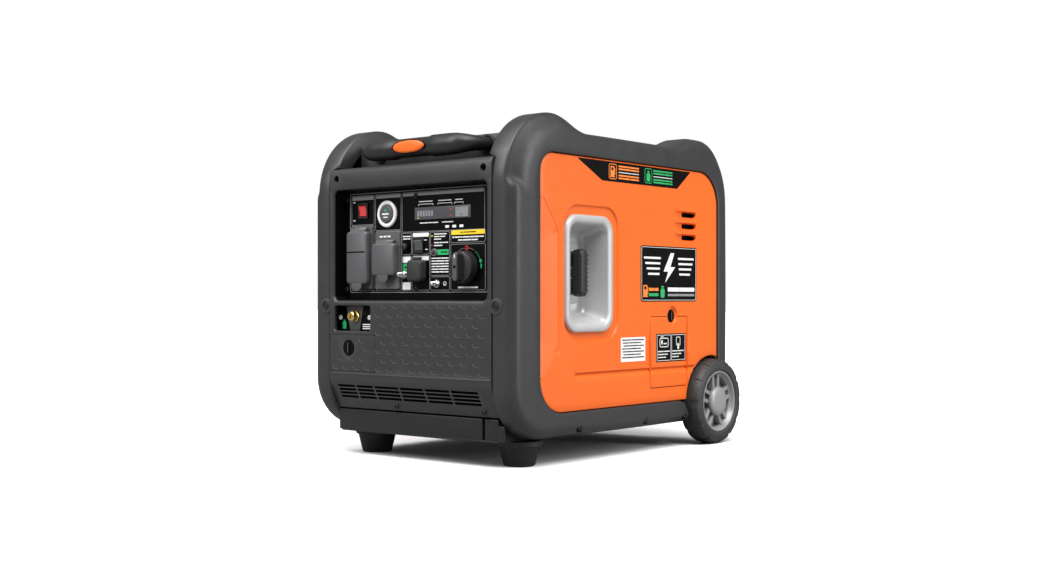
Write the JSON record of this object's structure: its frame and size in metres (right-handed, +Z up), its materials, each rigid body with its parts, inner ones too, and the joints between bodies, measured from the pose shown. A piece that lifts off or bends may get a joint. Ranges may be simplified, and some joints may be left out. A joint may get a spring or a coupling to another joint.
{
  "type": "inverter generator",
  "caption": "Wheeled enclosed dual fuel inverter generator with a recessed control panel, pull-start tray, telescopic handle and side access doors.",
  "frame": {"origin": "bottom centre of the overall box, on the ground", "axes": "+Z up, -Y towards the control panel and handle, +X towards the pull-start side"},
  "size_m": [0.47, 0.637, 0.546],
  "materials": {
    "charcoal_plastic": "textured satin",
    "orange_plastic": "satin moulded",
    "black_plastic": "matte",
    "grey_plastic": "matte",
    "silver_plastic": "satin",
    "white_plastic": "satin",
    "red_plastic": "gloss",
    "pale_plastic": "matte",
    "rubber": "matte",
    "tyre": "matte",
    "display": "clear",
    "painted_steel": "satin powder coat",
    "steel": "brushed",
    "aluminium": "cast",
    "brass": "turned",
    "copper_winding": "varnished",
    "rope": "braided"
  },
  "bodies": {
    "casing": {"base_frame": "painted_steel", "front_feet": "rubber", "side_frame_right": "charcoal_plastic", "side_frame_left": "charcoal_plastic", "side_panel_right": "orange_plastic", "side_panel_left": "orange_plastic", "front_cover": "charcoal_plastic", "rear_cover": "charcoal_plastic", "top_cover": "charcoal_plastic", "control_plate": "black_plastic", "display_window": "display", "start_ring": "white_plastic", "duplex_socket": "grey_plastic", "twistlock_socket": "grey_plastic", "dc_socket": "black_plastic", "parallel_posts": "steel", "ground_post": "steel", "gas_inlet": "brass", "gas_bracket": "painted_steel", "recoil_tray": "silver_plastic", "recoil_rope": "rope", "recoil_housing": "painted_steel", "handle_guides": "aluminium", "axle": "steel", "fuel_tank": "black_plastic", "engine_block": "aluminium", "cylinder_head": "aluminium", "stator": "copper_winding", "carburetor": "aluminium", "air_cleaner": "black_plastic", "muffler": "steel", "inverter_module": "aluminium", "battery": "black_plastic", "engine_mounts": "rubber", "case_screws": "painted_steel"},
    "access_cover": {"access_cover": "charcoal_plastic"},
    "access_latch": {"access_latch": "black_plastic"},
    "service_door": {"service_door": "orange_plastic"},
    "service_latch": {"service_latch": "black_plastic"},
    "power_rocker": {"power_rocker": "red_plastic"},
    "start_button": {"start_button": "grey_plastic"},
    "eco_rocker": {"eco_rocker": "grey_plastic"},
    "reset_button": {"reset_button": "black_plastic"},
    "test_button": {"test_button": "black_plastic"},
    "fuel_knob": {"fuel_knob": "black_plastic"},
    "duplex_lid": {"duplex_lid": "grey_plastic"},
    "twistlock_lid": {"twistlock_lid": "grey_plastic"},
    "dc_cap": {"dc_cap": "rubber"},
    "recoil_grip": {"recoil_grip": "black_plastic"},
    "recoil_pulley": {"recoil_pulley": "pale_plastic"},
    "handle": {"handle_frame": "black_plastic"},
    "handle_button": {"handle_button": "orange_plastic"},
    "wheel_right": {"tyre_right": "tyre", "rim_right": "silver_plastic"},
    "wheel_left": {"tyre_left": "tyre", "rim_left": "silver_plastic"},
    "fuel_cap": {"fuel_cap": "black_plastic"},
    "crank": {"crankshaft": "steel", "flywheel_rotor": "steel", "cooling_fan": "black_plastic"}
  },
  "joints": [
    {"name": "access_cover_swing", "type": "hinge", "parent": "casing", "child": "access_cover", "pos_m": [-0.1745, -0.314, 0.17], "axis": [0, 0, -1], "range_deg": [0, 100]},
    {"name": "access_latch_turn", "type": "hinge", "parent": "access_cover", "child": "access_latch", "pos_m": [-0.1325, -0.3135, 0.1785], "axis": [0, 1, 0], "range_deg": [0, 90]},
    {"name": "service_door_swing", "type": "hinge", "parent": "casing", "child": "service_door", "pos_m": [0.215, 0.1075, 0.108], "axis": [0, 1, 0], "range_deg": [0, 80]},
    {"name": "service_latch_turn", "type": "hinge", "parent": "service_door", "child": "service_latch", "pos_m": [0.213, 0.1165, 0.229], "axis": [1, 0, 0], "range_deg": [0, 90]},
    {"name": "power_rocker_tilt", "type": "hinge", "parent": "casing", "child": "power_rocker", "pos_m": [-0.122, -0.2895, 0.403], "axis": [1, 0, 0], "range_deg": [-20, 0]},
    {"name": "start_button_press", "type": "slide", "parent": "casing", "child": "start_button", "axis": [0, 1, 0], "range_m": [0, 0.002], "stiffness_N_per_m": 600},
    {"name": "eco_rocker_tilt", "type": "hinge", "parent": "casing", "child": "eco_rocker", "pos_m": [0.004, -0.2895, 0.344], "axis": [1, 0, 0], "range_deg": [-20, 0]},
    {"name": "reset_button_press", "type": "slide", "parent": "casing", "child": "reset_button", "axis": [0, 1, 0], "range_m": [0, 0.003], "stiffness_N_per_m": 300},
    {"name": "test_button_press", "type": "slide", "parent": "casing", "child": "test_button", "axis": [0, 1, 0], "range_m": [0, 0.0015], "stiffness_N_per_m": 300},
    {"name": "fuel_knob_turn", "type": "hinge", "parent": "casing", "child": "fuel_knob", "pos_m": [0.106, -0.2975, 0.3075], "axis": [0, 1, 0], "range_deg": [-60, 60]},
    {"name": "duplex_lid_lift", "type": "hinge", "parent": "casing", "child": "duplex_lid", "pos_m": [-0.1235, -0.2985, 0.372], "axis": [-1, 0, 0], "range_deg": [0, 100], "stiffness_Nm_per_rad": 0.05, "springref_deg": -22.92},
    {"name": "twistlock_lid_lift", "type": "hinge", "parent": "casing", "child": "twistlock_lid", "pos_m": [-0.063, -0.2985, 0.351], "axis": [-1, 0, 0], "range_deg": [0, 100], "stiffness_Nm_per_rad": 0.04, "springref_deg": -22.92},
    {"name": "dc_cap_lift", "type": "hinge", "parent": "casing", "child": "dc_cap", "pos_m": [0.008, -0.2985, 0.3225], "axis": [-1, 0, 0], "range_deg": [0, 100], "stiffness_Nm_per_rad": 0.02, "springref_deg": -22.92},
    {"name": "recoil_pulley_spin", "type": "hinge", "parent": "casing", "child": "recoil_pulley", "pos_m": [0.137, 0.0145, 0.245], "axis": [1, 0, 0], "range_deg": [0, 520], "stiffness_Nm_per_rad": 0.1, "springref_deg": -114.59},
    {"name": "recoil_grip_pull", "type": "slide", "parent": "casing", "child": "recoil_grip", "axis": [1, 0, 0], "range_m": [0, 0.5]},
    {"name": "handle_extend", "type": "slide", "parent": "casing", "child": "handle", "axis": [0, -1, 0], "range_m": [0, 0.3]},
    {"name": "handle_button_press", "type": "slide", "parent": "handle", "child": "handle_button", "axis": [0, 1, 0], "range_m": [0, 0.003], "stiffness_N_per_m": 500},
    {"name": "wheel_right_spin", "type": "hinge", "parent": "casing", "child": "wheel_right", "pos_m": [0.214, 0.2425, 0.076], "axis": [1, 0, 0], "continuous": true},
    {"name": "wheel_left_spin", "type": "hinge", "parent": "casing", "child": "wheel_left", "pos_m": [-0.214, 0.2425, 0.076], "axis": [1, 0, 0], "continuous": true},
    {"name": "fuel_cap_turn", "type": "hinge", "parent": "casing", "child": "fuel_cap", "pos_m": [0, -0.0155, 0.52], "axis": [0, 0, 1], "range_deg": [0, 120]},
    {"name": "crank_spin", "type": "hinge", "parent": "casing", "child": "crank", "pos_m": [0, 0.0145, 0.245], "axis": [1, 0, 0], "continuous": true}
  ],
  "couplings": [
    {"joint": "recoil_grip_pull", "follows": "recoil_pulley_spin", "m_per_rad": 0.0547}
  ]
}
